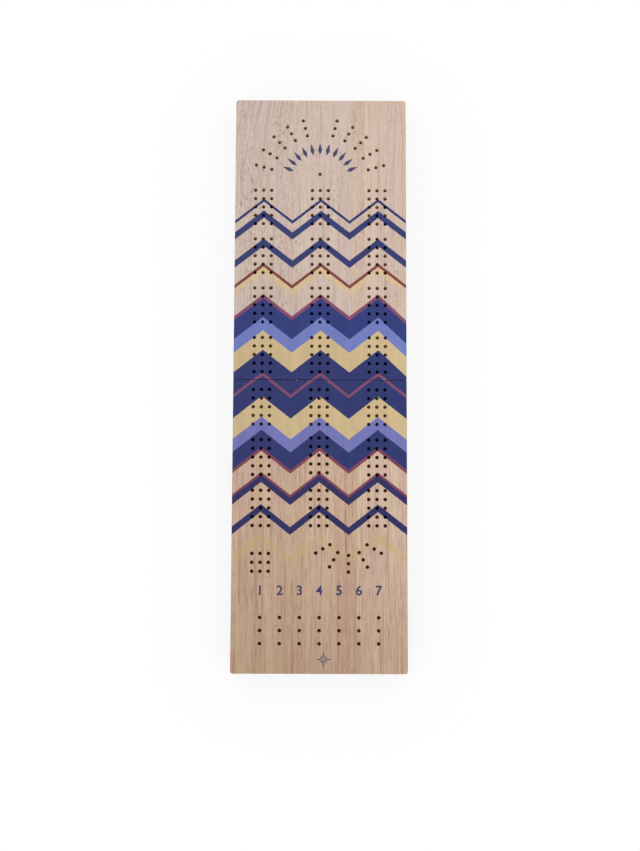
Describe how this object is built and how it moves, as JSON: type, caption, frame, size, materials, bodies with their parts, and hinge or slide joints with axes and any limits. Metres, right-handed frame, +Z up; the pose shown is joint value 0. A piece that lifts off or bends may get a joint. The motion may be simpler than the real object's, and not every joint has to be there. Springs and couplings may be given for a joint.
{
  "type": "folding cribbage board",
  "caption": "Folding wooden cribbage board with lanes of peg holes, hollow halves for cards and pegs, and striped faces.",
  "frame": {"origin": "on the table under the middle of the seam, level with the bottom of the feet", "axes": "+Y along the board from the games-won end to the turn at the top, +X to the right, +Z up out of the playing face"},
  "size_m": [0.1016, 0.339, 0.0214],
  "materials": {
    "upper_wood": "oiled, printed stripes",
    "lower_wood": "oiled, printed stripes",
    "brass": "brushed",
    "nickel": "nickel plated",
    "rubber": "matte",
    "red_plastic": "gloss",
    "yellow_plastic": "gloss",
    "navy_plastic": "gloss"
  },
  "bodies": {
    "lower_board": {"lower_playing_panel": "lower_wood", "lower_seam_rail": "lower_wood", "lower_end_rail": "lower_wood", "lower_left_rail": "lower_wood", "lower_right_rail": "lower_wood", "lower_divider": "lower_wood", "lower_left_foot": "rubber", "lower_right_foot": "rubber", "lower_left_magnet": "nickel", "lower_right_magnet": "nickel", "left_hinge_pin": "brass", "left_hinge_lower_leaf": "brass", "left_hinge_lower_outer_screw": "brass", "left_hinge_lower_inner_screw": "brass", "right_hinge_pin": "brass", "right_hinge_lower_leaf": "brass", "right_hinge_lower_outer_screw": "brass", "right_hinge_lower_inner_screw": "brass", "red_peg_1": "red_plastic", "red_peg_2": "red_plastic", "red_peg_3": "red_plastic", "yellow_peg_1": "yellow_plastic", "yellow_peg_2": "yellow_plastic", "yellow_peg_3": "yellow_plastic", "navy_peg_1": "navy_plastic", "navy_peg_2": "navy_plastic", "navy_peg_3": "navy_plastic"},
    "upper_board": {"upper_playing_panel": "upper_wood", "upper_seam_rail": "upper_wood", "upper_end_rail": "upper_wood", "upper_left_rail": "upper_wood", "upper_right_rail": "upper_wood", "upper_divider": "upper_wood", "upper_left_foot": "rubber", "upper_right_foot": "rubber", "upper_left_magnet": "nickel", "upper_right_magnet": "nickel", "left_hinge_upper_leaf": "brass", "left_hinge_upper_outer_screw": "brass", "left_hinge_upper_inner_screw": "brass", "right_hinge_upper_leaf": "brass", "right_hinge_upper_outer_screw": "brass", "right_hinge_upper_inner_screw": "brass"},
    "peg_lid": {"peg_lid": "lower_wood"}
  },
  "joints": [
    {"name": "fold", "type": "hinge", "parent": "lower_board", "child": "upper_board", "pos_m": [0, 0, 0.002], "axis": [-1, 0, 0], "range_deg": [0, 180]},
    {"name": "peg_lid_slide", "type": "slide", "parent": "lower_board", "child": "peg_lid", "axis": [0, 1, 0], "range_m": [0, 0.0942]}
  ]
}
